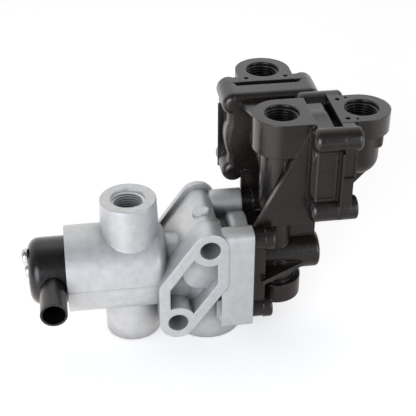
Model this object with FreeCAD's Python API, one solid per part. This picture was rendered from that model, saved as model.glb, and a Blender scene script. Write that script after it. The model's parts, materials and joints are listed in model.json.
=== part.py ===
import FreeCAD, Part
import math
import os

# Tractor protection valve with a moulded check-valve manifold.
# Millimetres, +Z up. The origin is the middle of the front bolt flange face,
# which lies in the plane Y = 0. The barrel runs along X, the manifold is at +X.

V = FreeCAD.Vector

# Bolt flanges of the aluminium body
FLANGE_SPAN = 52.0
BOLT_X = 8.35
BOLT_Z = 21.6
BOLT_HOLE_R = 5.15
LOBE_R = 9.4
FLANGE_CORNER_Z = -0.94
FLANGE_CORNER_ROUND = 5.0
FRONT_FLANGE_DEPTH = 13.0
REAR_FLANGE_THICK = 3.6
WINDOW_MARGIN = 5.6
WINDOW_DEPTH = 12.0
WINDOW_PAD_R = 10.0
WINDOW_PAD_X = 5.2
WINDOW_PAD_Z = 3.2
WINDOW_PAD_NEAR = 7.5
BOLT_TUBE_WALL = 1.5
CREST_FRONT_INSET = 2.7
CREST_REAR_INSET = 2.2
CREST_BOTTOM = -6.0
NAME_PAD_HALF = 3.6
NAME_PAD_STRETCH = 1.28
NAME_PAD_LEAN = 12.0
NAME_PAD_PROUD = 0.3

# Barrel with the plunger bore
BARREL_R = 22.5
BARREL_LEFT = -63.15
BARREL_RIGHT = -11.85
BARREL_ROUND = 7.0
PLUNGER_BORE_R = 13.0
PLUNGER_BORE_RIGHT = -14.0
GUIDE_BORE_R = 16.0
GUIDE_BORE_DEPTH = 7.15
GUIDE_SEAT_X = BARREL_LEFT + GUIDE_BORE_DEPTH
PARTING_RIDGE = 0.8
PARTING_RIDGE_PROUD = 0.12

# Service ports above and below the barrel
SERVICE_X = -29.8
SERVICE_TOP = 40.0
SERVICE_R = 14.35
SERVICE_DRAFT = 0.033
SERVICE_EDGE = 0.6
PASSAGE_R = 3.6
PASSAGE_SHIFT = 4.6

# Pipe threads: 3/8 and 1/2 inch, drawn smooth at the thread's root
THREAD_R = 8.55
THREAD_DEPTH = 15.0
BIG_THREAD_R = 10.5
BIG_THREAD_DEPTH = 17.0
MOUTH_CHAMFER = 0.5

# Chamber tower with the supply delivery port underneath
CHAMBER_X = 10.15
CHAMBER_R = 18.0
CHAMBER_BOTTOM = -40.0
CHAMBER_SHOULDER = 4.0
CHAMBER_TOP = 21.0
CHAMBER_TOP_R = 7.0
CHAMBER_BORE_R = 8.5
CHAMBER_CEILING = 9.0
SUPPLY_PIPE_R = 14.5
SUPPLY_BORE_R = 6.0
PRESSURE_BORE_R = 4.5

# Webs of the body: a saddle beside the barrel, a small rib and the floor of the pocket
SADDLE_HALF = 9.0
SADDLE_TOP = 14.0
SADDLE_ROUND = 6.0
RIB_X = 14.4
RIB_Y = 3.0
RIB_TOP = -12.0
RIB_BOTTOM = -24.0
FLOOR_HALF = 13.0
FLOOR_TOP = 17.0

# Joint between the aluminium body and the manifold
JOINT_X = 30.6
JOINT_Y = 18.3
JOINT_Z = 21.3
JOINT_BOSS_R = 7.3
JOINT_BOSS_LEFT = 13.0
JOINT_DRUM_R = 23.0
JOINT_DRUM_LEFT = 20.5
JOINT_DRUM_ROUND = 4.0
JOINT_BOSS_ROUND = 3.0
JOINT_FLOOR_DROP = 5.0
JOINT_SEAL_R = 10.2
JOINT_COLLAR_R = 5.4
JOINT_COLLAR_END = 37.75
JOINT_HEAD_R = 5.9
JOINT_HEAD_END = 41.65
JOINT_PLATE_THICK = 6.9
JOINT_PLATE_INSET = 3.4
JOINT_PLATE_DROP = 1.0
JOINT_HEAD_ROUND = 1.3
JOINT_WALL_LEFT = 14.2
JOINT_WALL_THICK = 9.0
JOINT_WALL_ROUND = 3.5

# Manifold
TRUNK_X = 47.2
TRUNK_R = 10.2
TRUNK_BORE_R = 6.5
COLUMN_R = 7.0
COLUMN_BORE_R = 4.5
COLUMN_TOP = 18.5
COLUMN_FLARE = 12.0
MANIFOLD_PIPE_R = 9.6
MANIFOLD_PIPE_END = 69.15
MANIFOLD_PIPE_ROUND = 2.0
MANIFOLD_PIPE_WALL = 4.0
PORT_TOP = 82.0
PORT_R = 14.4
PORT_HEIGHT = 18.0
MIDDLE_PORT_FLAT = 13.9
LOWER_PORT_R = 13.3
LOWER_PORT_TOP = -13.5
LOWER_PORT_BOTTOM = -24.5
GUSSET_THICK = 3.4
GUSSET_PROUD = 0.8
GUSSET_LEFT = 32.4
GUSSET_TOP_X = 60.0
GUSSET_BOTTOM = 26.0
RIB_THICK = 2.4
SPINE_THICK = 3.0
REAR_WALL_THICK = 3.2
REAR_WALL_STEP = 0.4
REAR_WALL_BOTTOM = -8.0
SHELF_DROP = 6.3
SHELF_INSET = 2.0
WING_RIGHT = 66.15
WING_NEAR = 24.0
WING_FAR = 6.5
WING_Z = -4.0

# Check-valve modules, each drawn along X with its seam at X = 0
COVER_PORT_X = 13.9
LEVEL_STEP = 0.1
MODULE_HALF = 19.5
RIGHT_SEAM_BEYOND = 6.55
REAR_SEAM_BEYOND = 17.3
MODULE_BOSS_R = 6.1
MODULE_Z = PORT_TOP - MODULE_BOSS_R - MODULE_HALF
MODULE_BOSS_ROUND = 3.5
MODULE_DEPTH = 14.9
MODULE_DRUM_R = MODULE_HALF + 4.7
MODULE_DRUM_END = -1.5
MODULE_DRUM_ROUND = 3.5
MODULE_BORE_R = 14.0
MODULE_BORE_WALL = 4.5
MODULE_BORE_DEPTH = 13.4
MODULE_RIM = 1.1
MODULE_RIM_PROUD = 0.3
MODULE_RIM_END = 3.0
MODULE_PANEL = MODULE_HALF + 1.9
MODULE_PANEL_LEFT = -13.0
MODULE_PANEL_ROUND = 2.0
MODULE_RECESS = 0.6
MODULE_RECESS_MARGIN = 1.7
MODULE_RECESS_HALF = 12.2
MODULE_NECK = MODULE_HALF + 3.1
MODULE_PIPE_R = 11.0
MODULE_WALL = 4.0
LEDGE_END = -3.9
LEDGE_ROUND = 3.0
LOW_LEDGE_DROP = 1.8
LOW_LEDGE_FAR = 13.5
COVER_PLATE = 6.3
COVER_LOWER_PLATE = 5.4
COVER_SIDE = MODULE_HALF + 4.8
COVER_LIP = 0.8
COVER_POCKET = 1.2
COVER_BOSS = 9.2
COVER_BOSS_ROUND = 2.5
COVER_LOW_BOSS_ROUND = 1.0
COVER_PORT_HEIGHT = 10.5
COVER_BAND_R = 10.4
COVER_BAND_HALF = 9.0
COVER_BAND_HEIGHT = 7.8
COVER_BAND_ROUND = 2.5
COVER_NECK_R = 10.3
COVER_SEAT_R = 6.0
COVER_SEAL_R = 16.0
COVER_RIB_LOW = (-8.5, -25.2)
COVER_RIB_HIGH = (9.5, -5.7)
DOWEL_HOLE = (-9.7, 10.4, 1.3)
SMALL_DOWEL_HOLE = (-5.2, 11.6, 0.9)
DOWEL_DEPTH = 3.0

# Seals
SEAL_THICK = 1.9
GROOVE_WIDTH = 2.4
SEAL_GAP = 0.02

# Exhaust end of the barrel
GUIDE_INSET = 2.85
GUIDE_LEFT = BARREL_LEFT + GUIDE_INSET
RING_THICK = 1.2
RING_INNER_R = 14.1
RING_GROOVE = 1.2
RING_GAP = 5.0
RING_PLAY = 0.1
VENT_COUNT = 6
VENT_R = 1.1
VENT_CIRCLE_R = 4.6
FLAP_R = 6.6
FLAP_THICK = 1.1
FLAP_PLAY = 0.1
BUTTON_R = 2.2
BUTTON_HEAD_R = 3.2
BUTTON_HEAD = 1.0
COVER_R = 17.4
COVER_WALL = 2.2
COVER_LENGTH = 19.0
COVER_ROUND = 6.0
TUBE_OUT = 7.15
TUBE_X = BARREL_LEFT - TUBE_OUT
TUBE_R = 6.75
TUBE_BORE_R = 5.7
TUBE_END_Y = -12.0
POST_R = 3.2
POST_PAD_WALL = 0.8
POST_PAD_LENGTH = 4.0
EXHAUST_SCREW_CIRCLE = 10.5
EXHAUST_SCREW_ANGLES = (-32.0, 98.0)

# Plunger and its spring
PLUNGER_RIGHT = -14.2
PLUNGER_LEFT = -49.5
WAIST_RIGHT = -20.5
WAIST_LEFT = -29.2
WAIST_R = 8.2
PLUNGER_DISH_R = 6.5
PLUNGER_DISH = 1.5
SPRING_POCKET_R = 9.3
SPRING_POCKET_END = -37.0
SPRING_R = 8.1
SPRING_WIRE_R = 0.8
SPRING_TURNS = 5.5
PILOT_R = 6.6
PILOT_LENGTH = 3.0
PLUNGER_SEALS = (-17.4, -30.9, -46.0)

# Check valve inside each module
DISC_R = 8.8
DISC_THICK = 1.5
POPPET_R = 9.6
POPPET_THICK = 2.2
STEM_R = 2.4
STEM_LENGTH = 8.3
SEAT_BEAD = 1.2
SEAT_BEAD_WALL = 1.8
SEAT_PLAY = 0.05
DISC_PROUD = 0.3
STEM_ROUND = 0.8
CAGE_R = 13.6
CAGE_RING = 2.2
CAGE_THICK = 1.6
CAGE_HUB_R = 4.2
CAGE_HUB_LENGTH = 4.0
CAGE_SPOKE_WIDTH = 2.4
CHECK_SPRING_R = 6.2
CHECK_WIRE_R = 0.5
CHECK_TURNS = 2.75

# Fasteners
BIG_SCREW_R = 2.5
BIG_HEAD_R = 4.25
BIG_HEAD_HEIGHT = 4.0
BIG_SOCKET_R = 2.3
BIG_SOCKET_FLOOR = 1.6
SINK_DEPTH = 4.2
SINK_GAP = 0.25
COVER_SCREW_ROOM = 20.0
JOINT_SCREW_ROOM = 10.0
JOINT_THREAD_DEPTH = 12.0
DRILL_EXTRA = 1.5
COVER_SCREW_LENGTH = 15.0
PAN_SCREW_R = 1.9
PAN_HEAD_R = 4.4
PAN_HEAD_HEIGHT = 3.0
PAN_HEAD_ROUND = 2.0
CROSS_SPAN = 4.8
CROSS_WIDTH = 1.0
CROSS_DEPTH = 1.5
PAN_SCREW_LENGTH = 12.0
SCREW_GAP = 0.05

SLIDE_GAP = 0.05
SMALL_ROUND = 0.6

# How far joined pieces run into each other, and how close counts as touching
EMBED = 1.0
TOUCH = 0.001

AXIS_Y = FLANGE_SPAN / 2

# Each seam lies beyond the screws of the other module
RIGHT_SEAM_X = TRUNK_X + MODULE_HALF + RIGHT_SEAM_BEYOND
REAR_SEAM_Y = AXIS_Y + MODULE_HALF + REAR_SEAM_BEYOND


# Helpers

def cylinder(radius, start, direction, length):
    return Part.makeCylinder(radius, length, start, direction)


def along_x(radius, left, right, y=AXIS_Y, z=0.0):
    return cylinder(radius, V(left, y, z), V(1, 0, 0), right - left)


def along_y(radius, near, far, x, z):
    return cylinder(radius, V(x, near, z), V(0, 1, 0), far - near)


def along_z(radius, bottom, top, x, y=AXIS_Y):
    return cylinder(radius, V(x, y, bottom), V(0, 0, 1), top - bottom)


def box(x0, x1, y0, y1, z0, z1):
    return Part.makeBox(x1 - x0, y1 - y0, z1 - z0, V(x0, y0, z0))


def tube_x(outer, inner, left, right, y=AXIS_Y, z=0.0):
    return along_x(outer, left, right, y, z).cut(along_x(inner, left - 1, right + 1, y, z))


def joined(shapes):
    return shapes[0].fuse(shapes[1:]).removeSplitter()


def prism_y(points, near, far):
    corners = [V(x, near, z) for x, z in points]
    face = Part.Face(Part.makePolygon(corners + corners[:1]))
    return face.extrude(V(0, far - near, 0))


def plate_z(points, bottom):
    corners = [V(x, y, bottom) for x, y in points]
    return Part.Face(Part.makePolygon(corners + corners[:1])).extrude(V(0, 0, RIB_THICK))


def round_edges(shape, radius, wanted):
    edges = [edge for edge in shape.Edges if wanted(edge)]
    return shape.makeFillet(radius, edges)


def round_end(shape, radius, x):
    def at_end(edge):
        return edge.BoundBox.XLength < TOUCH and abs(edge.BoundBox.XMin - x) < TOUCH

    return round_edges(shape, radius, at_end)


def round_section(radius, centre_r):
    # Eight flat sides that enclose the same area as the round wire or cord
    reach = radius * math.sqrt(math.pi / (4 * math.sin(math.pi / 4)))
    turns = [math.pi * (2 * step + 1) / 8 for step in range(8)]
    corners = [V(centre_r + reach * math.cos(turn), 0, reach * math.sin(turn)) for turn in turns]
    return Part.makePolygon(corners + corners[:1])


def seal_ring(x, y, z, middle_r, section_r):
    # Drawn about the Z axis, then laid with its axis along X
    ring = Part.Face(round_section(section_r, middle_r)).revolve(V(0, 0, 0), V(0, 0, 1), 360)
    ring.rotate(V(0, 0, 0), V(0, 1, 0), 90)
    ring.translate(V(x, y, z))
    return ring


def coil(start_x, end_x, radius, wire_r, turns, y=AXIS_Y, z=0.0):
    height = end_x - start_x
    helix = Part.makeHelix(height / turns, height, radius)
    wire = Part.Wire(helix.Edges)
    spring = wire.makePipeShell([round_section(wire_r, radius)], True, True)
    spring.rotate(V(0, 0, 0), V(0, 1, 0), 90)
    spring.translate(V(start_x, y, z))
    return spring


def threaded_socket(radius, depth, mouth, inward):
    hole = cylinder(radius, mouth, inward, depth)
    wide = radius + MOUTH_CHAMFER
    chamfer = Part.makeCone(wide, radius, MOUTH_CHAMFER, mouth, inward)
    return hole.fuse(chamfer)


# Aluminium body

def tangent_angle():
    dx = BOLT_X + BOLT_X + LOBE_R
    dz = FLANGE_CORNER_Z + BOLT_Z
    return math.atan2(dz, dx) - math.acos(LOBE_R / math.hypot(dx, dz))


def flange_outline(inset, y):
    radius = LOBE_R - inset
    angle = tangent_angle()
    side_x = BOLT_X + radius
    normal = V(math.cos(angle), 0, math.sin(angle))
    corner_z = (radius - normal.x * (side_x + BOLT_X)) / normal.z - BOLT_Z
    upper = V(BOLT_X, y, BOLT_Z)
    lower = V(-BOLT_X, y, -BOLT_Z)

    def on_lobe(centre, turn):
        return centre + V(radius * math.cos(turn), 0, radius * math.sin(turn))

    right = V(side_x, y, BOLT_Z)
    corner = V(side_x, y, corner_z)
    low_tangent = on_lobe(lower, angle)
    low_middle = on_lobe(lower, (angle - math.pi) / 2)
    left = V(-side_x, y, -BOLT_Z)
    far_corner = V(-side_x, y, -corner_z)
    high_tangent = on_lobe(upper, angle + math.pi)
    high_middle = on_lobe(upper, (angle + math.pi) / 2)
    edges = [
        Part.makeLine(right, corner),
        Part.makeLine(corner, low_tangent),
        Part.Arc(low_tangent, low_middle, left).toShape(),
        Part.makeLine(left, far_corner),
        Part.makeLine(far_corner, high_tangent),
        Part.Arc(high_tangent, high_middle, right).toShape(),
    ]
    return Part.Face(Part.Wire(edges))


def flange_plate(near, far, inset=0.0):
    plate = flange_outline(inset, near).extrude(V(0, far - near, 0))
    side_x = BOLT_X + LOBE_R - inset

    def is_corner(edge):
        box_of = edge.BoundBox
        upright = box_of.XLength < TOUCH and box_of.ZLength < TOUCH
        return upright and abs(abs(box_of.XMin) - side_x) < TOUCH and abs(box_of.ZMin) < BOLT_Z / 2

    return round_edges(plate, FLANGE_CORNER_ROUND - inset / 2, is_corner)


def flange_window():
    window = flange_plate(-1.0, WINDOW_DEPTH, WINDOW_MARGIN)
    for side in (1, -1):
        window = window.cut(along_y(LOBE_R, -2, WINDOW_DEPTH + 1, side * BOLT_X, side * BOLT_Z))
    return window


def front_flange():
    return flange_plate(0.0, FRONT_FLANGE_DEPTH).cut(flange_window())


def window_pad():
    return along_y(WINDOW_PAD_R, WINDOW_PAD_NEAR, AXIS_Y, WINDOW_PAD_X, WINDOW_PAD_Z).common(
        flange_plate(0.0, AXIS_Y + 1, WINDOW_MARGIN - 1.0))


def lower_bolt_tube():
    radius = BOLT_HOLE_R + BOLT_TUBE_WALL
    return along_y(radius, FRONT_FLANGE_DEPTH - 1, FLANGE_SPAN - 1, -BOLT_X, -BOLT_Z)


def crest():
    # Smooth casting between the two flanges, set in from their edges
    near = FRONT_FLANGE_DEPTH - EMBED / 2
    far = FLANGE_SPAN - EMBED
    front = flange_outline(CREST_FRONT_INSET, near).OuterWire
    rear = flange_outline(CREST_REAR_INSET, far).OuterWire
    loft = Part.makeLoft([front, rear], True, True)
    reach = FLANGE_SPAN
    return loft.cut(box(-reach, reach, 0, FLANGE_SPAN, -reach, CREST_BOTTOM))


def service_tower(side):
    height = SERVICE_TOP - BARREL_R / 2
    base_r = SERVICE_R + SERVICE_DRAFT * height
    mouth = V(SERVICE_X, AXIS_Y, side * SERVICE_TOP)
    tower = Part.makeCone(SERVICE_R, base_r, height, mouth, V(0, 0, -side))
    return round_edges(tower, SERVICE_EDGE, lambda e: abs(e.BoundBox.ZMin - side * SERVICE_TOP) < TOUCH
                       and e.BoundBox.ZLength < TOUCH)


def barrel_and_towers():
    drum = along_x(BARREL_R, BARREL_LEFT, BARREL_RIGHT)
    drum = round_end(drum, BARREL_ROUND, BARREL_RIGHT)
    length = BARREL_RIGHT - BARREL_ROUND - BARREL_LEFT
    near = AXIS_Y - BARREL_R - PARTING_RIDGE_PROUD
    corner = V(BARREL_LEFT, near, -PARTING_RIDGE / 2)
    ridge = Part.makeBox(length, EMBED, PARTING_RIDGE, corner)
    return [drum, ridge, service_tower(1), service_tower(-1)]


def chamber_tower():
    tower = along_z(CHAMBER_R, CHAMBER_BOTTOM, CHAMBER_SHOULDER, CHAMBER_X)
    shoulder_height = CHAMBER_TOP - CHAMBER_SHOULDER
    shoulder = Part.makeCone(
        CHAMBER_R, CHAMBER_TOP_R, shoulder_height, V(CHAMBER_X, AXIS_Y, CHAMBER_SHOULDER), V(0, 0, 1))
    return tower.fuse(shoulder)


def name_pad():
    # Bare oval pad that leans with the crest between the flanges
    top = LOBE_R - CREST_REAR_INSET + NAME_PAD_PROUD
    pad = along_z(NAME_PAD_HALF, 0, top, 0, 0)
    stretch = FreeCAD.Matrix()
    stretch.scale(V(NAME_PAD_STRETCH, 1.0, 1.0))
    pad = pad.transformGeometry(stretch)
    pad.rotate(V(0, 0, 0), V(0, 1, 0), -NAME_PAD_LEAN)
    pad.translate(V(BOLT_X, AXIS_Y, BOLT_Z))
    return pad


def joint_places(y_half, z_half):
    return [(AXIS_Y + a * y_half, b * z_half) for a in (-1, 1) for b in (-1, 1)]


def joint_block():
    shapes = [round_end(along_x(JOINT_DRUM_R, JOINT_DRUM_LEFT, JOINT_X), JOINT_DRUM_ROUND, JOINT_DRUM_LEFT)]
    for y, z in joint_places(JOINT_Y, JOINT_Z):
        boss = along_x(JOINT_BOSS_R, JOINT_BOSS_LEFT, JOINT_X, y, z)
        shapes.append(round_end(boss, JOINT_BOSS_ROUND, JOINT_BOSS_LEFT))
    near = AXIS_Y - JOINT_Y - JOINT_BOSS_R - LEVEL_STEP
    height = JOINT_Z + JOINT_BOSS_R + LEVEL_STEP
    wall = box(JOINT_WALL_LEFT, JOINT_X, near, near + JOINT_WALL_THICK, -height, height)
    shapes.append(round_edges(wall, JOINT_WALL_ROUND, lambda e: e.BoundBox.XLength > 1
                              and abs(e.BoundBox.YMin - near) < TOUCH))
    far = FLANGE_SPAN - near
    shapes.append(box(JOINT_WALL_LEFT, JOINT_X, far - JOINT_WALL_THICK / 2, far - 1.0, -JOINT_Z, JOINT_Z))
    low = -JOINT_Z - JOINT_FLOOR_DROP
    near = AXIS_Y - JOINT_Y
    far = AXIS_Y + JOINT_Y
    shapes.append(box(JOINT_WALL_LEFT, JOINT_X, near, far, low, -JOINT_Z))
    return shapes


def body_webs():
    left = BARREL_RIGHT - 3 * EMBED
    right = CHAMBER_X - CHAMBER_R / 2
    saddle = box(left, right, AXIS_Y - SADDLE_HALF, AXIS_Y + SADDLE_HALF,
                 -SADDLE_TOP, SADDLE_TOP)
    saddle = round_edges(saddle, SADDLE_ROUND, lambda e: e.BoundBox.XLength > 1)
    rib = box(RIB_X - RIB_THICK, RIB_X, RIB_Y, AXIS_Y, RIB_BOTTOM, RIB_TOP)
    right = JOINT_DRUM_LEFT + EMBED
    floor = box(CHAMBER_X, right, AXIS_Y - FLOOR_HALF, AXIS_Y + FLOOR_HALF, 0, FLOOR_TOP)
    return [saddle, rib, floor]


def body_bores():
    cuts = [
        along_x(GUIDE_BORE_R, BARREL_LEFT - 1, GUIDE_SEAT_X),
        along_x(PLUNGER_BORE_R, GUIDE_SEAT_X - 1, PLUNGER_BORE_RIGHT),
        along_x(GUIDE_BORE_R + RING_GROOVE, GUIDE_LEFT - RING_THICK, GUIDE_LEFT),
        along_x(PRESSURE_BORE_R, PLUNGER_BORE_RIGHT - 1, CHAMBER_X),
        along_x(SUPPLY_BORE_R, CHAMBER_X, JOINT_X + 1),
        threaded_socket(BIG_THREAD_R, BIG_THREAD_DEPTH, V(CHAMBER_X, AXIS_Y, CHAMBER_BOTTOM), V(0, 0, 1)),
        along_z(CHAMBER_BORE_R, CHAMBER_BOTTOM, CHAMBER_CEILING, CHAMBER_X),
    ]
    for side in (1, -1):
        mouth = V(SERVICE_X, AXIS_Y, side * SERVICE_TOP)
        cuts.append(threaded_socket(THREAD_R, THREAD_DEPTH, mouth, V(0, 0, -side)))
        passage = V(SERVICE_X + side * PASSAGE_SHIFT, AXIS_Y, side * SERVICE_TOP)
        cuts.append(cylinder(PASSAGE_R, passage, V(0, 0, -side), SERVICE_TOP - PLUNGER_BORE_R / 2))
        cuts.append(along_y(BOLT_HOLE_R, -1, FLANGE_SPAN + 1, side * BOLT_X, side * BOLT_Z))
    hole_left = JOINT_X - JOINT_THREAD_DEPTH - DRILL_EXTRA
    for y, z in joint_places(JOINT_Y, JOINT_Z):
        cuts.append(along_x(BIG_SCREW_R + SCREW_GAP, hole_left, JOINT_X + 1, y, z))
    groove_left = JOINT_X - SEAL_THICK
    half = GROOVE_WIDTH / 2
    cuts.append(tube_x(JOINT_SEAL_R + half, JOINT_SEAL_R - half, groove_left, JOINT_X + 1))
    return cuts


def valve_body():
    shapes = barrel_and_towers()
    shapes += [chamber_tower(), front_flange(), window_pad(), lower_bolt_tube(), crest()]
    shapes.append(flange_plate(FLANGE_SPAN - REAR_FLANGE_THICK, FLANGE_SPAN))
    shapes.append(along_x(SUPPLY_PIPE_R, BARREL_RIGHT - 2, JOINT_DRUM_LEFT + 2))
    shapes += joint_block()
    shapes += body_webs()
    shapes.append(name_pad())
    return joined(shapes).cut(body_bores())


# Exhaust end

def exhaust_screw_places():
    turns = [math.radians(angle) for angle in EXHAUST_SCREW_ANGLES]
    r = EXHAUST_SCREW_CIRCLE
    return [(AXIS_Y + r * math.cos(turn), r * math.sin(turn)) for turn in turns]


def end_guide():
    post_left = BARREL_LEFT - COVER_LENGTH + COVER_WALL + POST_PAD_LENGTH
    hole_end = BARREL_LEFT - COVER_LENGTH + PAN_SCREW_LENGTH + DRILL_EXTRA
    button_left = GUIDE_LEFT - FLAP_THICK - FLAP_PLAY
    button_end = button_left - BUTTON_HEAD
    shapes = [
        along_x(GUIDE_BORE_R - SLIDE_GAP, GUIDE_LEFT, GUIDE_SEAT_X),
        along_x(PILOT_R, GUIDE_SEAT_X, GUIDE_SEAT_X + PILOT_LENGTH),
        along_x(BUTTON_R, button_left, GUIDE_LEFT),
        round_end(along_x(BUTTON_HEAD_R, button_end, button_left), SMALL_ROUND, button_end),
    ]
    shapes += [along_x(POST_R, post_left, GUIDE_LEFT, y, z) for y, z in exhaust_screw_places()]
    guide = joined(shapes)
    middle = (GUIDE_LEFT + GUIDE_SEAT_X) / 2
    floor_r = GUIDE_BORE_R - SEAL_THICK
    cuts = [tube_x(GUIDE_BORE_R + 1, floor_r, middle - GROOVE_WIDTH / 2, middle + GROOVE_WIDTH / 2)]
    for y, z in exhaust_screw_places():
        cuts.append(along_x(PAN_SCREW_R + SCREW_GAP, post_left - 1, hole_end, y, z))
    for step in range(VENT_COUNT):
        turn = 2 * math.pi * step / VENT_COUNT
        y = AXIS_Y + VENT_CIRCLE_R * math.cos(turn)
        z = VENT_CIRCLE_R * math.sin(turn)
        cuts.append(along_x(VENT_R, GUIDE_LEFT - TOUCH, GUIDE_SEAT_X + PILOT_LENGTH + 1, y, z))
    return guide.cut(cuts)


def end_guide_seal():
    section = SEAL_THICK / 2 - SEAL_GAP
    middle = (GUIDE_LEFT + GUIDE_SEAT_X) / 2
    return seal_ring(middle, AXIS_Y, 0, GUIDE_BORE_R - SEAL_THICK / 2, section)


def retaining_ring():
    ring = tube_x(GUIDE_BORE_R + RING_GROOVE - RING_PLAY, RING_INNER_R, GUIDE_LEFT - RING_THICK, GUIDE_LEFT)
    half = RING_GAP / 2
    gap = box(GUIDE_LEFT - 5, GUIDE_LEFT + 5, AXIS_Y - half, AXIS_Y + half, -GUIDE_BORE_R - 5, 0)
    return ring.cut(gap)


def exhaust_flap():
    return tube_x(FLAP_R, BUTTON_R + FLAP_PLAY, GUIDE_LEFT - FLAP_THICK, GUIDE_LEFT)


def exhaust_cover():
    left = BARREL_LEFT - COVER_LENGTH
    pad_end = left + COVER_WALL + POST_PAD_LENGTH
    pad_r = POST_R + POST_PAD_WALL
    cup = round_end(along_x(COVER_R, left, BARREL_LEFT), COVER_ROUND, left)
    tube = along_y(TUBE_R, TUBE_END_Y, AXIS_Y, TUBE_X, 0.0)
    hollow = along_x(COVER_R - COVER_WALL, left + COVER_WALL, BARREL_LEFT + 1)
    hollow = round_end(hollow, COVER_ROUND - COVER_WALL, left + COVER_WALL)
    cuts = [hollow, along_y(TUBE_BORE_R, TUBE_END_Y - 1, AXIS_Y, TUBE_X, 0.0)]
    for y, z in exhaust_screw_places():
        cuts.append(along_x(PAN_SCREW_R + 2 * SCREW_GAP, left - 1, pad_end + 1, y, z))
    post_pads = [along_x(pad_r, left + COVER_WALL / 2, pad_end, y, z) for y, z in exhaust_screw_places()]
    return joined([cup, tube]).cut(cuts[:2]).fuse(post_pads).cut(cuts[2:]).removeSplitter()


def pan_screw(y, z):
    face = BARREL_LEFT - COVER_LENGTH
    top = face - PAN_HEAD_HEIGHT
    head = round_end(along_x(PAN_HEAD_R, top, face, y, z), PAN_HEAD_ROUND, top)
    shank = along_x(PAN_SCREW_R, face, face + PAN_SCREW_LENGTH, y, z)
    blade = CROSS_SPAN / 2
    half = CROSS_WIDTH / 2
    slot = box(top - 1, top + CROSS_DEPTH, y - blade, y + blade, z - half, z + half)
    cross = box(top - 1, top + CROSS_DEPTH, y - half, y + half, z - blade, z + blade)
    return head.fuse(shank).removeSplitter().cut([slot, cross])


def exhaust_cover_screws():
    return Part.Compound([pan_screw(y, z) for y, z in exhaust_screw_places()])


# Plunger

def plunger():
    radius = PLUNGER_BORE_R - SLIDE_GAP
    spool = joined([
        along_x(radius, PLUNGER_LEFT, WAIST_LEFT),
        along_x(WAIST_R, WAIST_LEFT, WAIST_RIGHT),
        along_x(radius, WAIST_RIGHT, PLUNGER_RIGHT),
    ])
    cuts = [along_x(SPRING_POCKET_R, PLUNGER_LEFT - 1, SPRING_POCKET_END)]
    half = GROOVE_WIDTH / 2
    for x in PLUNGER_SEALS:
        cuts.append(tube_x(PLUNGER_BORE_R + 1, PLUNGER_BORE_R - SEAL_THICK, x - half, x + half))
    cuts.append(along_x(PLUNGER_DISH_R, PLUNGER_RIGHT - PLUNGER_DISH, PLUNGER_RIGHT + 1))
    return spool.cut(cuts)


def plunger_seals():
    section = SEAL_THICK / 2 - SEAL_GAP
    middle_r = PLUNGER_BORE_R - SEAL_THICK / 2
    return Part.Compound([seal_ring(x, AXIS_Y, 0, middle_r, section) for x in PLUNGER_SEALS])


def plunger_spring():
    left = GUIDE_SEAT_X + SPRING_WIRE_R
    right = SPRING_POCKET_END - SPRING_WIRE_R
    return coil(left, right, SPRING_R, SPRING_WIRE_R, SPRING_TURNS)


def joint_seal():
    section = SEAL_THICK / 2
    return seal_ring(JOINT_X - section, AXIS_Y, 0, JOINT_SEAL_R, section - SEAL_GAP)


# Sunk socket-head screws, drawn along X with the head towards +X

def socket_screw(seat_x, length, y, z):
    head = along_x(BIG_HEAD_R, seat_x, seat_x + BIG_HEAD_HEIGHT, y, z)
    head = round_end(head, SMALL_ROUND, seat_x + BIG_HEAD_HEIGHT)
    shank = along_x(BIG_SCREW_R, seat_x - length, seat_x, y, z)
    corners = []
    for step in range(7):
        turn = math.pi * step / 3
        across = BIG_SOCKET_R * math.cos(turn)
        up = BIG_SOCKET_R * math.sin(turn)
        corners.append(V(seat_x + BIG_SOCKET_FLOOR, y + across, z + up))
    socket = Part.Face(Part.makePolygon(corners)).extrude(V(BIG_HEAD_HEIGHT, 0, 0))
    return head.fuse(shank).removeSplitter().cut(socket)


def joint_screws():
    seat = JOINT_HEAD_END - SINK_DEPTH
    length = seat - JOINT_X + JOINT_THREAD_DEPTH
    return Part.Compound([socket_screw(seat, length, y, z) for y, z in joint_places(JOINT_Y, JOINT_Z)])


# Check-valve module, drawn along X about Y = 0, Z = 0 with the seam at X = 0

def module_places():
    return [(a * MODULE_HALF, b * MODULE_HALF) for a in (-1, 1) for b in (-1, 1)]


def module_drum():
    left = -MODULE_DEPTH
    drum = along_x(MODULE_DRUM_R, left, MODULE_DRUM_END, 0, 0)
    drum = round_end(round_end(drum, MODULE_DRUM_ROUND, left), MODULE_DRUM_ROUND, MODULE_DRUM_END)
    edge = MODULE_PANEL - MODULE_RECESS - LEVEL_STEP
    reach = 2 * MODULE_DRUM_R
    return drum.common(box(left - 1, 0, -edge, reach, -edge, reach))


def module_walls():
    left = -MODULE_DEPTH
    inner = MODULE_HALF - MODULE_WALL
    panel = box(MODULE_PANEL_LEFT, 0, -MODULE_PANEL, -inner, -MODULE_HALF, MODULE_HALF)
    panel = round_edges(panel, MODULE_PANEL_ROUND, lambda e: e.BoundBox.ZLength > 1
                        and e.BoundBox.XMax < MODULE_PANEL_LEFT + TOUCH and e.BoundBox.YMax < -inner - 1)
    back = box(left, 0, inner, MODULE_NECK, -MODULE_HALF, MODULE_HALF)
    back = round_edges(back, MODULE_DRUM_ROUND, lambda e: e.BoundBox.ZLength > 1
                       and e.BoundBox.XMax < left + TOUCH and e.BoundBox.YMin > inner + 1)
    bottom = box(left + MODULE_RIM, 0, -MODULE_HALF, MODULE_HALF, -MODULE_PANEL, -inner)
    high = MODULE_RECESS_HALF
    recess = box(MODULE_PANEL_LEFT + MODULE_RECESS_MARGIN, -MODULE_RIM - MODULE_RECESS_MARGIN,
                 -MODULE_PANEL - 1, MODULE_RECESS - MODULE_PANEL, -high, high)
    return [panel.cut(recess), back, bottom]


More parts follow.
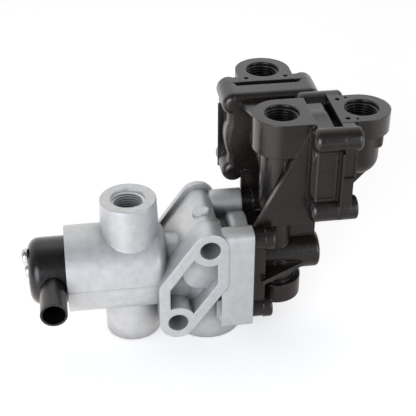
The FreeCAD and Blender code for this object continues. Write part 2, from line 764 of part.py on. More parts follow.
def module_rims():
    inner = MODULE_HALF - MODULE_WALL
    outer = MODULE_HALF + MODULE_BOSS_R + MODULE_RIM_PROUD
    top = MODULE_HALF - MODULE_BOSS_R + 1.0
    low = -MODULE_HALF - MODULE_RIM_END
    return [
        box(-MODULE_RIM, 0, -outer, -inner, low, top),
        box(-MODULE_RIM, 0, inner, outer, low, top),
        box(-MODULE_RIM, 0, -MODULE_HALF, MODULE_HALF, -outer, -inner),
    ]


def low_ledge():
    # Lower ledge that stops short of the far boss
    top = PORT_TOP - MODULE_Z - LOW_LEDGE_DROP
    ledge = box(-MODULE_DEPTH, MODULE_DRUM_END, -MODULE_HALF, LOW_LEDGE_FAR, MODULE_HALF - MODULE_WALL, top)

    def is_rounded(edge):
        at_end = edge.BoundBox.XMin > MODULE_DRUM_END - TOUCH
        at_far = edge.BoundBox.YMin > LOW_LEDGE_FAR - TOUCH
        return edge.BoundBox.ZMin > top - TOUCH and (at_end or at_far)

    return round_edges(ledge, LEDGE_ROUND, is_rounded)


def high_ledge():
    left = -MODULE_DEPTH
    top = PORT_TOP - MODULE_Z - LEVEL_STEP
    ledge = box(left, LEDGE_END, -MODULE_HALF, MODULE_HALF, MODULE_HALF - MODULE_WALL, top)
    return round_edges(ledge, LEDGE_ROUND, lambda e: e.BoundBox.YLength > 1
                       and e.BoundBox.XMax < left + TOUCH and e.BoundBox.ZMin > top - TOUCH)


def module_shell(reach):
    left = -MODULE_DEPTH
    shapes = [module_drum(), along_x(MODULE_BORE_R + MODULE_BORE_WALL, left, 0, 0, 0)]
    shapes.append(along_x(MODULE_PIPE_R, -reach, left + 1, 0, 0))
    for y, z in module_places():
        shapes.append(round_end(along_x(MODULE_BOSS_R, left, 0, y, z), MODULE_BOSS_ROUND, left))
    return shapes + module_walls() + module_rims()


def module_cuts(reach):
    cuts = [along_x(MODULE_BORE_R, -MODULE_BORE_DEPTH, 1, 0, 0), along_x(TRUNK_BORE_R, -reach, 0, 0, 0)]
    hole_left = COVER_BOSS - SINK_DEPTH - COVER_SCREW_LENGTH - DRILL_EXTRA
    for y, z in module_places():
        cuts.append(along_x(BIG_SCREW_R + SCREW_GAP, hole_left, 1, y, z))
    return cuts


def port_plate(centre_x, centre_y, flat, bottom, top, turn):
    # Half round to one side, square with a flat face to the other
    round_part = Part.makeCylinder(PORT_R, top - bottom, V(0, 0, bottom), V(0, 0, 1), 180)
    round_part.rotate(V(0, 0, 0), V(0, 0, 1), 90)
    plate = round_part.fuse(box(0, flat, -PORT_R, PORT_R, bottom, top)).removeSplitter()
    plate.rotate(V(0, 0, 0), V(0, 0, 1), turn)
    plate.translate(V(centre_x, centre_y, 0))
    return plate


def cover_plates():
    strip_top = PORT_TOP - MODULE_Z - LEVEL_STEP
    pocket_top = MODULE_HALF - MODULE_BOSS_R - COVER_LIP / 2
    upper = box(0, COVER_PLATE, -COVER_SIDE, COVER_SIDE, 0, MODULE_HALF)
    pocket = box(-1, COVER_PLATE - COVER_LIP, -COVER_SIDE - 1, COVER_POCKET - COVER_SIDE, -1, pocket_top)
    return [
        upper.cut(pocket),
        box(0, COVER_LOWER_PLATE, -COVER_SIDE, COVER_SIDE, -MODULE_HALF, 0),
        box(0, COVER_LOWER_PLATE, -MODULE_HALF, MODULE_HALF, -COVER_SIDE, 0),
        box(0, COVER_PLATE, -MODULE_HALF, MODULE_HALF, 0, strip_top),
    ]


def cover_solid():
    port_top = PORT_TOP - MODULE_Z
    shapes = cover_plates()
    for y, z in module_places():
        boss = along_x(MODULE_BOSS_R, 0, COVER_BOSS, y, z)
        rounding = COVER_BOSS_ROUND if z > 0 else COVER_LOW_BOSS_ROUND
        shapes.append(round_end(boss, rounding, COVER_BOSS))
    elbow = V(COVER_PORT_X, 0, 0)
    shapes.append(along_x(COVER_NECK_R, 0, COVER_PORT_X, 0, 0))
    shapes.append(Part.makeSphere(COVER_NECK_R, elbow))
    shapes.append(along_z(COVER_NECK_R, 0, port_top - 1, COVER_PORT_X, 0))
    band_top = port_top - COVER_PORT_HEIGHT
    band_end = COVER_PORT_X + COVER_BAND_R
    band = box(0, band_end, -COVER_BAND_HALF, COVER_BAND_HALF, band_top - COVER_BAND_HEIGHT, band_top)
    shapes.append(round_edges(band, COVER_BAND_ROUND, lambda e: abs(e.BoundBox.XMin - band_end) < TOUCH))
    shapes.append(port_plate(COVER_PORT_X, 0, COVER_PORT_X, band_top, port_top, 180))
    low = (COVER_PORT_X + COVER_RIB_LOW[0], COVER_RIB_LOW[1])
    high = (COVER_PORT_X + COVER_RIB_HIGH[0], COVER_RIB_HIGH[1])
    root = COVER_LOWER_PLATE - 1
    outline = [(root, low[1]), low, high, (COVER_PORT_X, 0), (root, 0)]
    shapes.append(prism_y(outline, -RIB_THICK / 2, RIB_THICK / 2))
    return joined(shapes)


def check_cover(dowel_holes):
    port_top = PORT_TOP - MODULE_Z
    seal_half = GROOVE_WIDTH / 2
    cuts = [
        threaded_socket(THREAD_R, THREAD_DEPTH, V(COVER_PORT_X, 0, port_top), V(0, 0, -1)),
        along_z(COVER_SEAT_R, 0, port_top - 2, COVER_PORT_X, 0),
        Part.makeSphere(COVER_SEAT_R, V(COVER_PORT_X, 0, 0)),
        along_x(COVER_SEAT_R, -5, COVER_PORT_X, 0, 0),
        tube_x(COVER_SEAL_R + seal_half, COVER_SEAL_R - seal_half, -1, SEAL_THICK, 0, 0),
    ]
    for y, z in module_places():
        cuts.append(along_x(BIG_SCREW_R + 2 * SCREW_GAP, -1, COVER_BOSS + 1, y, z))
        sink = COVER_BOSS - SINK_DEPTH
        cuts.append(along_x(BIG_HEAD_R + SINK_GAP, sink, COVER_BOSS + COVER_SCREW_ROOM, y, z))
    for shift, half, radius in dowel_holes:
        for side in (-1, 1):
            x = COVER_PORT_X + shift
            cuts.append(along_z(radius, port_top - DOWEL_DEPTH, port_top + 1, x, side * half))
    seat = tube_x(COVER_SEAT_R + SEAT_BEAD_WALL, COVER_SEAT_R, -SEAT_BEAD, 1, 0, 0)
    return cover_solid().fuse(seat).cut(cuts).removeSplitter()


def cover_seal():
    section = SEAL_THICK / 2
    return seal_ring(section, 0, 0, COVER_SEAL_R, section - SEAL_GAP)


def cover_screws():
    seat = COVER_BOSS - SINK_DEPTH
    return Part.Compound([socket_screw(seat, COVER_SCREW_LENGTH, y, z) for y, z in module_places()])


def poppet():
    face = -SEAT_BEAD - SEAT_PLAY
    disc_back = face - DISC_THICK
    back = disc_back - POPPET_THICK
    head = along_x(POPPET_R, back, face - DISC_PROUD, 0, 0)
    pocket = along_x(DISC_R, disc_back, face + 1, 0, 0)
    stem = along_x(STEM_R, back - STEM_LENGTH, back, 0, 0)
    return head.cut(pocket).fuse(round_end(stem, STEM_ROUND, back - STEM_LENGTH)).removeSplitter()


def poppet_disc():
    face = -SEAT_BEAD - SEAT_PLAY
    return along_x(DISC_R, face - DISC_THICK, face, 0, 0)


def guide_cage():
    floor = -MODULE_BORE_DEPTH
    shapes = [
        tube_x(CAGE_R, CAGE_R - CAGE_RING, floor, floor + CAGE_THICK, 0, 0),
        along_x(CAGE_HUB_R, floor, floor + CAGE_HUB_LENGTH, 0, 0),
    ]
    half = CAGE_SPOKE_WIDTH / 2
    reach = CAGE_R - CAGE_RING / 2
    for step in range(2):
        spoke = box(floor, floor + CAGE_THICK, -reach, reach, -half, half)
        spoke.rotate(V(0, 0, 0), V(1, 0, 0), 90 * step)
        shapes.append(spoke)
    bore = along_x(STEM_R + SLIDE_GAP, floor - 1, 0, 0, 0)
    return joined(shapes).cut(bore)


def check_spring():
    back = -SEAT_BEAD - SEAT_PLAY - DISC_THICK - POPPET_THICK
    left = -MODULE_BORE_DEPTH + CAGE_THICK
    return coil(left + CHECK_WIRE_R, back - CHECK_WIRE_R, CHECK_SPRING_R, CHECK_WIRE_R, CHECK_TURNS, 0, 0)


def on_right(shape):
    placed = shape.copy()
    placed.translate(V(RIGHT_SEAM_X, AXIS_Y, MODULE_Z))
    return placed


def on_rear(shape):
    placed = shape.copy()
    placed.rotate(V(0, 0, 0), V(0, 0, 1), 90)
    placed.translate(V(TRUNK_X, REAR_SEAM_Y, MODULE_Z))
    return placed


# Manifold

def joint_flange():
    plate_end = JOINT_X + JOINT_PLATE_THICK
    near = AXIS_Y - JOINT_Y - JOINT_COLLAR_R + JOINT_PLATE_INSET
    side = JOINT_Z - JOINT_PLATE_DROP
    shapes = [box(JOINT_X, plate_end, near, FLANGE_SPAN - near, -side, side)]
    for y, z in joint_places(JOINT_Y, JOINT_Z):
        shapes.append(along_x(JOINT_COLLAR_R, JOINT_X, JOINT_COLLAR_END, y, z))
        head = along_x(JOINT_HEAD_R, JOINT_COLLAR_END - 1.0, JOINT_HEAD_END, y, z)
        shapes.append(round_end(head, JOINT_HEAD_ROUND, JOINT_HEAD_END))
    return shapes


def trunk():
    middle_bottom = PORT_TOP - PORT_HEIGHT
    pipe = along_x(MANIFOLD_PIPE_R, JOINT_X, MANIFOLD_PIPE_END)
    funnel = Part.makeCone(COLUMN_R, TRUNK_R, COLUMN_FLARE, V(TRUNK_X, AXIS_Y, COLUMN_TOP), V(0, 0, 1))
    return [
        port_plate(TRUNK_X, AXIS_Y, MIDDLE_PORT_FLAT, middle_bottom, PORT_TOP, 0),
        along_z(TRUNK_R, COLUMN_TOP + COLUMN_FLARE, PORT_TOP - 2, TRUNK_X),
        funnel,
        along_z(COLUMN_R, 0, COLUMN_TOP + EMBED / 2, TRUNK_X),
        along_z(TRUNK_R, LOWER_PORT_TOP - 1, 0, TRUNK_X),
        along_z(LOWER_PORT_R, LOWER_PORT_BOTTOM, LOWER_PORT_TOP, TRUNK_X),
        round_end(pipe, MANIFOLD_PIPE_ROUND, MANIFOLD_PIPE_END),
    ]


def manifold_webs():
    front = AXIS_Y - PORT_R - GUSSET_PROUD
    right = RIGHT_SEAM_X + MODULE_PANEL_LEFT + 1.0
    top = PORT_TOP - LEVEL_STEP
    outline = [(GUSSET_LEFT, GUSSET_BOTTOM), (GUSSET_TOP_X, top), (right, top), (right, GUSSET_BOTTOM)]
    gusset = prism_y(outline, front, front + GUSSET_THICK)
    low_z = MODULE_Z - MODULE_HALF
    spine_end = MANIFOLD_PIPE_END - MANIFOLD_PIPE_ROUND
    half = SPINE_THICK / 2
    spine = box(TRUNK_X, spine_end, AXIS_Y - half, AXIS_Y + half, 0, low_z)
    wall_near = REAR_SEAM_Y - MODULE_DEPTH - REAR_WALL_STEP
    wall_far = wall_near + REAR_WALL_THICK
    wall_right = TRUNK_X + MODULE_HALF - EMBED
    rear_wall = box(JOINT_X + EMBED, wall_right, wall_near, wall_far, REAR_WALL_BOTTOM, low_z + EMBED)
    shelf_near = AXIS_Y + PORT_R / 2
    shelf = [(TRUNK_X - MODULE_HALF + SHELF_INSET, wall_far), (TRUNK_X, wall_far),
             (TRUNK_X, shelf_near), (TRUNK_X - PORT_R + SHELF_INSET, shelf_near)]
    wing_left = JOINT_X + JOINT_PLATE_THICK - 2 * EMBED
    wing_far = AXIS_Y - WING_FAR
    wing = [(wing_left, AXIS_Y - WING_NEAR), (WING_RIGHT, wing_far), (wing_left, wing_far)]
    return [gusset, spine, rear_wall, plate_z(shelf, PORT_TOP - SHELF_DROP), plate_z(wing, WING_Z)]


def manifold_bores():
    cuts = [
        threaded_socket(THREAD_R, THREAD_DEPTH, V(TRUNK_X, AXIS_Y, PORT_TOP), V(0, 0, -1)),
        threaded_socket(THREAD_R, THREAD_DEPTH, V(TRUNK_X, AXIS_Y, LOWER_PORT_BOTTOM), V(0, 0, 1)),
        along_z(TRUNK_BORE_R, MODULE_Z - TRUNK_BORE_R, PORT_TOP - 2, TRUNK_X),
        along_z(COLUMN_BORE_R, LOWER_PORT_BOTTOM + 2, MODULE_Z, TRUNK_X),
        along_x(SUPPLY_BORE_R, JOINT_X - 1, MANIFOLD_PIPE_END - MANIFOLD_PIPE_WALL),
    ]
    for y, z in joint_places(JOINT_Y, JOINT_Z):
        cuts.append(along_x(BIG_SCREW_R + 2 * SCREW_GAP, JOINT_X - 1, JOINT_HEAD_END + 1, y, z))
        sink = JOINT_HEAD_END - SINK_DEPTH
        cuts.append(along_x(BIG_HEAD_R + SINK_GAP, sink, JOINT_HEAD_END + JOINT_SCREW_ROOM, y, z))
    return cuts


def manifold_body():
    right_reach = RIGHT_SEAM_X - TRUNK_X
    rear_reach = REAR_SEAM_Y - AXIS_Y
    shapes = joint_flange() + trunk() + manifold_webs()
    shapes += [on_right(shape) for shape in module_shell(right_reach) + [low_ledge()]]
    shapes += [on_rear(shape) for shape in module_shell(rear_reach) + [high_ledge()]]
    cuts = manifold_bores()
    cuts += [on_right(shape) for shape in module_cuts(right_reach)]
    cuts += [on_rear(shape) for shape in module_cuts(rear_reach)]
    return joined(shapes).cut(cuts)


# Every named piece

def module_pieces(dowel_holes):
    return {
        "cover": check_cover(dowel_holes),
        "cover_screws": cover_screws(),
        "cover_seal": cover_seal(),
        "poppet": poppet(),
        "poppet_disc": poppet_disc(),
        "guide_cage": guide_cage(),
        "check_spring": check_spring(),
    }


def all_pieces():
    pieces = {
        "valve_body": valve_body(),
        "end_guide": end_guide(),
        "end_guide_seal": end_guide_seal(),
        "retaining_ring": retaining_ring(),
        "exhaust_flap": exhaust_flap(),
        "exhaust_cover": exhaust_cover(),
        "exhaust_cover_screws": exhaust_cover_screws(),
        "plunger": plunger(),
        "plunger_seals": plunger_seals(),
        "plunger_spring": plunger_spring(),
        "joint_seal": joint_seal(),
        "manifold_body": manifold_body(),
        "joint_screws": joint_screws(),
    }
    for name, shape in module_pieces((DOWEL_HOLE, SMALL_DOWEL_HOLE)).items():
        pieces["right_" + name] = on_right(shape)
    for name, shape in module_pieces((DOWEL_HOLE,)).items():
        pieces["rear_" + name] = on_rear(shape)
    return pieces


os.makedirs("parts", exist_ok=True)
for piece_name, piece in all_pieces().items():
    piece.exportStep("parts/" + piece_name + ".step")
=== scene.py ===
"""Looks of a tractor protection valve: a blasted aluminium casting with a black moulded manifold."""

import json
import math

import bmesh
import bpy
from mathutils import Matrix, Vector


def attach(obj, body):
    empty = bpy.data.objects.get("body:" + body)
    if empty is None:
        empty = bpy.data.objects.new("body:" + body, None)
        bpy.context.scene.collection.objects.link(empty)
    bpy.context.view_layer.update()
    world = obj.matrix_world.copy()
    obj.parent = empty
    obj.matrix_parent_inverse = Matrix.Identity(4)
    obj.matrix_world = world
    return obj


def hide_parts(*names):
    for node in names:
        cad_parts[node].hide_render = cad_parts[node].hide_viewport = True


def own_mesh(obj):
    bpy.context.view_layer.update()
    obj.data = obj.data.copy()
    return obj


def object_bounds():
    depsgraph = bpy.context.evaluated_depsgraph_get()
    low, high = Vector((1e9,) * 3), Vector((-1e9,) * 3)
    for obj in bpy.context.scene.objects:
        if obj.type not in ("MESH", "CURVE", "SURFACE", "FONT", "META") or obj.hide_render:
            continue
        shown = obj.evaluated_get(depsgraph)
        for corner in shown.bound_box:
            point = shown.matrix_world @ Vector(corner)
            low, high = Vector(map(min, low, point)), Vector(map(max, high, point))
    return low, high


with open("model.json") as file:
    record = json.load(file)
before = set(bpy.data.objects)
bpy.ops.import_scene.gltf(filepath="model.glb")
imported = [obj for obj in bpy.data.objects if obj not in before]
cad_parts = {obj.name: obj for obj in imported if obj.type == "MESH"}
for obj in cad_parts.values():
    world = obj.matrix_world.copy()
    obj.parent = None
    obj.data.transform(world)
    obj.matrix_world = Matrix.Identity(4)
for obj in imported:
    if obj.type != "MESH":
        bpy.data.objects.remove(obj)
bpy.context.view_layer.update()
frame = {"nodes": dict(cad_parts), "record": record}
MM = 0.001

# Pipe threads: 18 threads to the inch in the small ports and 14 in the large one
SMALL_PITCH = 25.4 / 18 * MM
LARGE_PITCH = 25.4 / 14 * MM
LARGE_PORT_OVER = 10.0 * MM
THREAD_DEPTH_SHARE = 0.72
THREAD_FLAT_SHARE = 0.12
THREAD_WIDTH_SHARE = 0.98
THREAD_SUNK = 0.05 * MM
THREAD_LEAD_IN = 0.9 * MM
THREAD_FADE_TURNS = 0.4
THREAD_LEAST_SHARE = 0.02
STEPS_PER_TURN = 72
METAL_PORTS = ("tractor_service_port", "trailer_service_port", "supply_delivery_port")

# The record places each port this far inside its mouth
PORT_INSIDE = 6.0 * MM

# Corners flatter than this angle are shaded as smooth; split corners nearer than the weld are joined
CREASE_ANGLE = math.radians(28)
CORNER_WELD = 0.0005 * MM

# Patches of uneven gloss, the part of the noise that colour and gloss use, and the stretch of corner openness
# over which painted shade fades out
GLOSS_PATCH_MM = 2.2
NOISE_USED = (0.3, 0.7)
PAINTED_SHADE_OPENNESS = (0.25, 0.95)

# The camera's place and aim, in metres, as the view was solved
CAMERA_PLACE = Vector((-0.0512, -0.39885, 0.30587))
CAMERA_AIM = Vector((0.1215, 0.8327, -0.5402)).normalized()
CAMERA_RIGHT = Vector((0.98953, -0.14436, 0.0))
CAMERA_CLIP = (0.01, 10.0)
SENSOR_MM = 36.0
FOCAL_PIXELS = 1000.0
IMAGE_SIDE = 416

# The room's brightness behind the part, in front of it and overhead, with the stretches of heading and
# height over which it changes
WORLD_BEHIND = 1.2
WORLD_FRONT = 0.3
WORLD_OVERHEAD = 0.7
WORLD_HEADING = (-0.1, 0.5)
WORLD_HEIGHT = (0.5, 0.95)

# The floor: its side in metres, its drop below the part, its colours, and how much it is lifted towards
# white where the camera sees it
FLOOR_SIDE = 6.0
FLOOR_DROP = 0.5 * MM
FLOOR_BOUNCE = (0.82, 0.86, 0.92, 1.0)
FLOOR_SEEN = (0.78, 0.78, 0.78, 1.0)
FLOOR_GLOW = 0.42

# A painted reflection: the floor glows for gloss rays only, warm, dark in front of the manifold and brighter
# to both sides, as a table between two soft boxes would look. Each stretch is in metres along X
PAINTED_REFLECTION_COLOUR = (1.0, 0.95, 0.92, 1.0)
PAINTED_REFLECTION_LEVELS = (0.6, 1.6)
PAINTED_REFLECTION_LEFT = (0.03, -0.08)
PAINTED_REFLECTION_RIGHT = (0.16, 0.3)
PAINTED_REFLECTION_RIGHT_SHARE = 0.6

# Soft round lamps: place and size in metres, power in watts, colour
LAMP_AIM = (0.01, 0.02, 0.03)
LAMPS = {
    "overhead": ((-0.05, 0.55, 0.8), 0.5, 0.3, "#fff0dc"),
    "front_left": ((-0.7, -0.95, 0.4), 0.95, 12.5, "#f6f9ff"),
    "front_right": ((0.75, -0.7, 0.3), 0.8, 5.0, "#f6f9ff"),
}

# What each material is and what that gives the eye. Grit, fibres and plating are finer than this on the
# real pieces; their grain is drawn as coarse as it needs to be to show
FINISHES = {
    # Pressure die casting, shot blasted: an even, pale blue-grey metal with a soft sheen and a fine pitted
    # grain, with shade painted into the colour of its inner corners
    "blasted_die_cast_aluminium": dict(
        colours=("#babdbf", "#c9cacb"), roughness=(0.38, 0.5), metallic=0.55,
        mottle_mm=4.5, grain_mm=0.6, grain_height=0.06, edge_mm=1.1, painted_shade_mm=10.0, painted_corner_shade=0.4),
    # Threads cut after blasting: flanks that are brighter and smoother than the casting, over roots darkened
    # by painted shade
    "tapped_aluminium": dict(
        colours=("#e0e3e6", "#eff0f1"), roughness=(0.34, 0.44), metallic=0.5,
        mottle_mm=6.0, grain_mm=0.25, grain_height=0.01, edge_mm=0.08, painted_shade_mm=1.6, painted_corner_shade=0.1),
    # Nylon 66 with a third of glass fibre: warm black, satin, with the faint grain of fibres under the skin
    "glass_filled_nylon": dict(
        colours=("#120e0c", "#1b1613"), roughness=(0.2, 0.3), ior=1.55,
        mottle_mm=5.0, grain_mm=0.7, grain_height=0.008, edge_mm=0.7),
    # Unfilled nylon from a polished mould: near black with a clear highlight
    "gloss_moulded_nylon": dict(
        colours=("#0b0b0c", "#121213"), roughness=(0.22, 0.3), ior=1.48,
        mottle_mm=7.0, grain_mm=0.9, grain_height=0.006, edge_mm=0.4),
    # Bright zinc over cold-headed steel: slightly blue and softly mirrored
    "bright_zinc_plated_steel": dict(
        colours=("#b4b8ba", "#cfd2d1"), roughness=(0.2, 0.32), metallic=1.0,
        mottle_mm=1.6, grain_mm=0.3, grain_height=0.008, edge_mm=0.2),
    # Turned bar: clean grey metal, seen only through the ports
    "turned_aluminium": dict(
        colours=("#b7babd", "#c8cacc"), roughness=(0.25, 0.35), metallic=1.0,
        mottle_mm=4.0, grain_mm=0.2, grain_height=0.01, edge_mm=0.15),
    # Acetal without pigment: milky white with a waxy gloss
    "natural_acetal": dict(
        colours=("#dedbd2", "#eae8e1"), roughness=(0.3, 0.4), ior=1.48,
        mottle_mm=6.0, grain_mm=0.4, grain_height=0.01, edge_mm=0.2),
    # Hard-drawn steel wire: grey with a thin oil-dark skin
    "spring_wire": dict(
        colours=("#5b5a58", "#737270"), roughness=(0.3, 0.42), metallic=1.0,
        mottle_mm=2.0, grain_mm=0.2, grain_height=0.01, edge_mm=0.05),
    # Nitrile rubber: matt black with a faint bloom
    "nitrile_rubber": dict(
        colours=("#121212", "#1d1c1b"), roughness=(0.55, 0.7), ior=1.52,
        mottle_mm=3.0, grain_mm=0.3, grain_height=0.02, edge_mm=0.1),
}

# The nodes that each material dresses
DRESSED = {
    "blasted_die_cast_aluminium": ("valve_body",),
    "glass_filled_nylon": ("manifold_body", "right_cover", "rear_cover"),
    "gloss_moulded_nylon": ("exhaust_cover",),
    "bright_zinc_plated_steel": (
        "exhaust_cover_screws", "joint_screws", "right_cover_screws", "rear_cover_screws"),
    "turned_aluminium": ("plunger",),
    "natural_acetal": ("end_guide", "right_poppet", "rear_poppet", "right_guide_cage", "rear_guide_cage"),
    "spring_wire": ("retaining_ring", "plunger_spring", "right_check_spring", "rear_check_spring"),
    "nitrile_rubber": (
        "end_guide_seal", "exhaust_flap", "plunger_seals", "joint_seal",
        "right_cover_seal", "rear_cover_seal", "right_poppet_disc", "rear_poppet_disc"),
}


# Materials

def linear(hex_colour):
    values = [int(hex_colour[i:i + 2], 16) / 255 for i in (1, 3, 5)]
    return (*[v / 12.92 if v <= 0.04045 else ((v + 0.055) / 1.055) ** 2.4 for v in values], 1.0)


def add_node(tree, kind, settings=None, **sockets):
    """Adds a node; a socket takes a value or another node's output.

    A socket's name has _ for each space, and i0, i1, i2 stand for the sockets by number.
    """
    made = tree.nodes.new(kind)
    for name, value in (settings or {}).items():
        setattr(made, name, value)
    for name, value in sockets.items():
        if name[0] == "i" and name[1:].isdigit():
            socket = made.inputs[int(name[1:])]
        else:
            socket = made.inputs[name.replace("_", " ")]
        if isinstance(value, bpy.types.NodeSocket):
            tree.links.new(value, socket)
        else:
            socket.default_value = value
    return made


def new_material(name):
    material = bpy.data.materials.new(name)
    material.use_nodes = True
    tree = material.node_tree
    tree.nodes.clear()
    output = tree.nodes.new("ShaderNodeOutputMaterial")
    where = tree.nodes.new("ShaderNodeTexCoord").outputs["Object"]
    return material, tree, output, where


def surface(name, colours, roughness, mottle_mm, grain_mm, grain_height, edge_mm,
            metallic=0.0, ior=1.5, painted_shade_mm=0.0, painted_corner_shade=1.0):
    """A surface with mottled colour, uneven gloss, a fine grain and softened edges, sized in millimetres.

    Above a zero reach, shade is painted into the colour of hollows and inner corners within that reach,
    down to the painted corner shade.
    """
    material, tree, output, where = new_material(name)
    mottle = add_node(tree, "ShaderNodeTexNoise", Vector=where, Scale=1 / (mottle_mm * MM),
                      Detail=4.0, Roughness=0.6)
    between = add_node(tree, "ShaderNodeValToRGB", Fac=mottle.outputs["Fac"])
    for stop, place, shade in zip(between.color_ramp.elements, NOISE_USED, colours):
        stop.position = place
        stop.color = linear(shade)
    colour = between.outputs["Color"]
    # Painted shade: the colour is darkened in hollows and inner corners, where less light reaches
    if painted_shade_mm > 0:
        openness = add_node(tree, "ShaderNodeAmbientOcclusion", {"samples": 8}, Distance=painted_shade_mm * MM)
        painted_shade_factor = add_node(tree, "ShaderNodeMapRange", Value=openness.outputs["AO"],
                         From_Min=PAINTED_SHADE_OPENNESS[0], From_Max=PAINTED_SHADE_OPENNESS[1],
                         To_Min=painted_corner_shade, To_Max=1.0)
        painted_shade_colour = add_node(tree, "ShaderNodeVectorMath", {"operation": "SCALE"},
                          i0=colour, Scale=painted_shade_factor.outputs["Result"])
        colour = painted_shade_colour.outputs["Vector"]
    gloss = add_node(tree, "ShaderNodeTexNoise", Vector=where, Scale=1 / (GLOSS_PATCH_MM * MM),
                     Detail=3.0, Roughness=0.6)
    spread = add_node(tree, "ShaderNodeMapRange", Value=gloss.outputs["Fac"],
                      From_Min=NOISE_USED[0], From_Max=NOISE_USED[1],
                      To_Min=roughness[0], To_Max=roughness[1])
    grain = add_node(tree, "ShaderNodeTexNoise", Vector=where, Scale=1 / (grain_mm * MM),
                     Detail=3.0, Roughness=0.65)
    edge = add_node(tree, "ShaderNodeBevel", {"samples": 6}, Radius=edge_mm * MM)
    bump = add_node(tree, "ShaderNodeBump", Height=grain.outputs["Fac"], Strength=1.0,
                    Distance=grain_height * MM, Normal=edge.outputs["Normal"])
    shader = add_node(tree, "ShaderNodeBsdfPrincipled", Base_Color=colour, Roughness=spread.outputs["Result"],
                      Metallic=metallic, IOR=ior, Normal=bump.outputs["Normal"])
    tree.links.new(shader.outputs["BSDF"], output.inputs["Surface"])
    return material


def shade_smooth(part):
    """Joins the split corners for shading and keeps the sharp ones, without touching the stored mesh."""
    for polygon in part.data.polygons:
        polygon.use_smooth = True
    weld = part.modifiers.new("corners", "WELD")
    weld.merge_threshold = CORNER_WELD
    split = part.modifiers.new("creases", "EDGE_SPLIT")
    split.split_angle = CREASE_ANGLE


def dress_nodes(materials):
    for finish, names in DRESSED.items():
        for name in names:
            part = frame["nodes"][name]
            part.data.materials.clear()
            part.data.materials.append(materials[finish])
            shade_smooth(part)


# Springs

def coil_springs():
    """Each spring is shown by a copy of its coil, attached to the valve body; the original is hidden."""
    for joint in frame["record"]["behaviour"]["joints"]:
        for spring in joint["deforming_nodes"]:
            node = frame["nodes"][spring["node"]]
            coil = bpy.data.objects.new(spring["node"] + "_coil", node.data.copy())
            coil.matrix_world = node.matrix_world.copy()
            bpy.context.collection.objects.link(coil)
            shade_smooth(coil)
            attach(coil, "valve")
            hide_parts(spring["node"])
            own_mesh(coil)


# Threads

def thread_ridge(name, mouth, inward, radius, length, pitch, material):
    """A helical ridge that stands in from the drilled wall, with a tapering start and end."""
    height = pitch * THREAD_DEPTH_SHARE
    half = pitch / 2 * THREAD_WIDTH_SHARE
    flat = pitch * THREAD_FLAT_SHARE / 2
    wall = radius + THREAD_SUNK
    turns = (length - THREAD_LEAD_IN) / pitch - 1
    steps = int(turns * STEPS_PER_TURN)
    fade_steps = STEPS_PER_TURN * THREAD_FADE_TURNS
    axis = Vector(inward)
    side = axis.orthogonal().normalized()
    other = axis.cross(side)
    mesh = bmesh.new()
    rings = []
    for step in range(steps + 1):
        turn = 2 * math.pi * step / STEPS_PER_TURN
        depth = THREAD_LEAD_IN + pitch * (step / STEPS_PER_TURN + 0.5)
        fade = min(1.0, step / fade_steps, (steps - step) / fade_steps)
        crest = radius - height * max(fade, THREAD_LEAST_SHARE)
        out = side * math.cos(turn) + other * math.sin(turn)
        corners = [(wall, -half), (crest, -flat), (crest, flat), (wall, half)]
        rings.append([
            mesh.verts.new(Vector(mouth) + out * reach + axis * (depth + shift)) for reach, shift in corners])
    for ring, following in zip(rings, rings[1:]):
        for corner in range(4):
            after = (corner + 1) % 4
            mesh.faces.new((ring[corner], ring[after], following[after], following[corner]))
    mesh.faces.new(rings[0][::-1])
    mesh.faces.new(rings[-1])
    bmesh.ops.recalc_face_normals(mesh, faces=mesh.faces)
    data = bpy.data.meshes.new(name)
    mesh.to_mesh(data)
    mesh.free()
    data.materials.append(material)
    ridge = bpy.data.objects.new(name, data)
    bpy.context.collection.objects.link(ridge)
    shade_smooth(ridge)
    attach(ridge, "valve")


def port_threads(materials):
    for mount in frame["record"]["mounts"]:
        if mount["kind"] != "threaded_hole":
            continue
        out = Vector(mount["axis"])
        radius = mount["dims"]["r_mm"] * MM
        length = mount["dims"]["length_mm"] * MM
        mouth = Vector(mount["pos_m"]) + out * PORT_INSIDE
        pitch = LARGE_PITCH if radius > LARGE_PORT_OVER else SMALL_PITCH
        if mount["name"] in METAL_PORTS:
            finish, slot = "tapped_aluminium", "cast_aluminium"
        else:
            finish, slot = "glass_filled_nylon", "black_nylon"
        thread_ridge(mount["name"] + "_thread", mouth, -out, radius, length, pitch, materials[finish])


# Stage

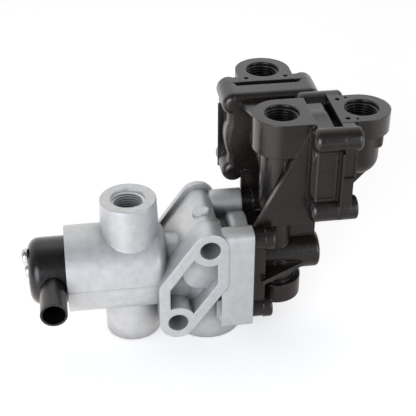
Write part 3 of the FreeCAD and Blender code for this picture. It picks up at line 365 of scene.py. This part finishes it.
def make_floor():
    """The camera sees a near-white floor with the part's shadow, and gloss sees a painted reflection: a warm
    graded glow.
    """
    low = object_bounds()[0]
    bpy.ops.mesh.primitive_plane_add(size=FLOOR_SIDE, location=(0, 0, low.z - FLOOR_DROP))
    floor = bpy.context.object
    floor.name = "floor"
    material, tree, output, where = new_material("pale_floor")
    rays = add_node(tree, "ShaderNodeLightPath")
    bounce = add_node(tree, "ShaderNodeBsdfDiffuse", Color=FLOOR_BOUNCE)
    plain = add_node(tree, "ShaderNodeBsdfDiffuse", Color=FLOOR_SEEN)
    glow = add_node(tree, "ShaderNodeEmission", Color=(1, 1, 1, 1), Strength=FLOOR_GLOW)
    lifted = add_node(tree, "ShaderNodeAddShader", i0=plain.outputs["BSDF"], i1=glow.outputs["Emission"])
    matt = add_node(tree, "ShaderNodeMixShader", Fac=rays.outputs["Is Camera Ray"],
                    i1=bounce.outputs["BSDF"], i2=lifted.outputs["Shader"])
    across = add_node(tree, "ShaderNodeSeparateXYZ", Vector=where)
    to_left = add_node(tree, "ShaderNodeMapRange", Value=across.outputs["X"],
                       From_Min=PAINTED_REFLECTION_LEFT[0], From_Max=PAINTED_REFLECTION_LEFT[1], To_Min=0.0, To_Max=1.0)
    to_right = add_node(tree, "ShaderNodeMapRange", Value=across.outputs["X"],
                        From_Min=PAINTED_REFLECTION_RIGHT[0], From_Max=PAINTED_REFLECTION_RIGHT[1],
                        To_Min=0.0, To_Max=PAINTED_REFLECTION_RIGHT_SHARE)
    side = add_node(tree, "ShaderNodeMath", {"operation": "MAXIMUM"},
                    i0=to_left.outputs["Result"], i1=to_right.outputs["Result"])
    level = add_node(tree, "ShaderNodeMapRange", Value=side.outputs["Value"],
                     To_Min=PAINTED_REFLECTION_LEVELS[0], To_Max=PAINTED_REFLECTION_LEVELS[1])
    # Painted reflection: an emission that only gloss rays see on the floor, brighter towards both sides
    painted_reflection = add_node(tree, "ShaderNodeEmission", Color=PAINTED_REFLECTION_COLOUR, Strength=level.outputs["Result"])
    mix = add_node(tree, "ShaderNodeMixShader", Fac=rays.outputs["Is Glossy Ray"],
                   i1=matt.outputs["Shader"], i2=painted_reflection.outputs["Emission"])
    tree.links.new(mix.outputs["Shader"], output.inputs["Surface"])
    floor.data.materials.append(material)


def make_world():
    """A pale room that darkens towards the front and overhead; the camera sees plain white."""
    world = bpy.data.worlds.new("studio")
    bpy.context.scene.world = world
    world.use_nodes = True
    tree = world.node_tree
    tree.nodes.clear()
    rays = add_node(tree, "ShaderNodeLightPath")
    heading = tree.nodes.new("ShaderNodeTexCoord").outputs["Generated"]
    parts = add_node(tree, "ShaderNodeSeparateXYZ", Vector=heading)
    behind = add_node(tree, "ShaderNodeMapRange", Value=parts.outputs["Y"],
                      From_Min=WORLD_HEADING[0], From_Max=WORLD_HEADING[1],
                      To_Min=WORLD_FRONT, To_Max=WORLD_BEHIND)
    overhead = add_node(tree, "ShaderNodeMapRange", Value=parts.outputs["Z"],
                        From_Min=WORLD_HEIGHT[0], From_Max=WORLD_HEIGHT[1],
                        To_Min=1.0, To_Max=WORLD_OVERHEAD)
    level = add_node(tree, "ShaderNodeMath", {"operation": "MULTIPLY"},
                     i0=behind.outputs["Result"], i1=overhead.outputs["Result"])
    room = add_node(tree, "ShaderNodeBackground", Color=(1, 1, 1, 1), Strength=level.outputs["Value"])
    white = add_node(tree, "ShaderNodeBackground", Color=(1, 1, 1, 1), Strength=1.0)
    mix = add_node(tree, "ShaderNodeMixShader", Fac=rays.outputs["Is Camera Ray"],
                   i1=room.outputs["Background"], i2=white.outputs["Background"])
    output = tree.nodes.new("ShaderNodeOutputWorld")
    tree.links.new(mix.outputs["Shader"], output.inputs["Surface"])


def make_lamps():
    for name, (place, size, power, colour) in LAMPS.items():
        data = bpy.data.lights.new(name, "AREA")
        data.shape = "DISK"
        data.size = size
        data.energy = power
        data.color = linear(colour)[:3]
        lamp = bpy.data.objects.new(name, data)
        lamp.location = place
        lamp.rotation_euler = (Vector(LAMP_AIM) - Vector(place)).to_track_quat("-Z", "Y").to_euler()
        bpy.context.collection.objects.link(lamp)


def make_camera():
    data = bpy.data.cameras.new("camera")
    data.sensor_width = SENSOR_MM
    data.lens = SENSOR_MM * FOCAL_PIXELS / IMAGE_SIDE
    data.clip_start, data.clip_end = CAMERA_CLIP
    camera = bpy.data.objects.new("camera", data)
    up = CAMERA_RIGHT.cross(CAMERA_AIM)
    turn = Matrix((CAMERA_RIGHT, up, -CAMERA_AIM)).transposed()
    camera.matrix_world = Matrix.Translation(CAMERA_PLACE) @ turn.to_4x4()
    bpy.context.collection.objects.link(camera)
    bpy.context.scene.camera = camera


make_camera()
finished = {name: surface(name, **finish) for name, finish in FINISHES.items()}
dress_nodes(finished)
coil_springs()
port_threads(finished)
make_floor()
make_world()
make_lamps()
bpy.context.scene.view_settings.view_transform = "Standard"
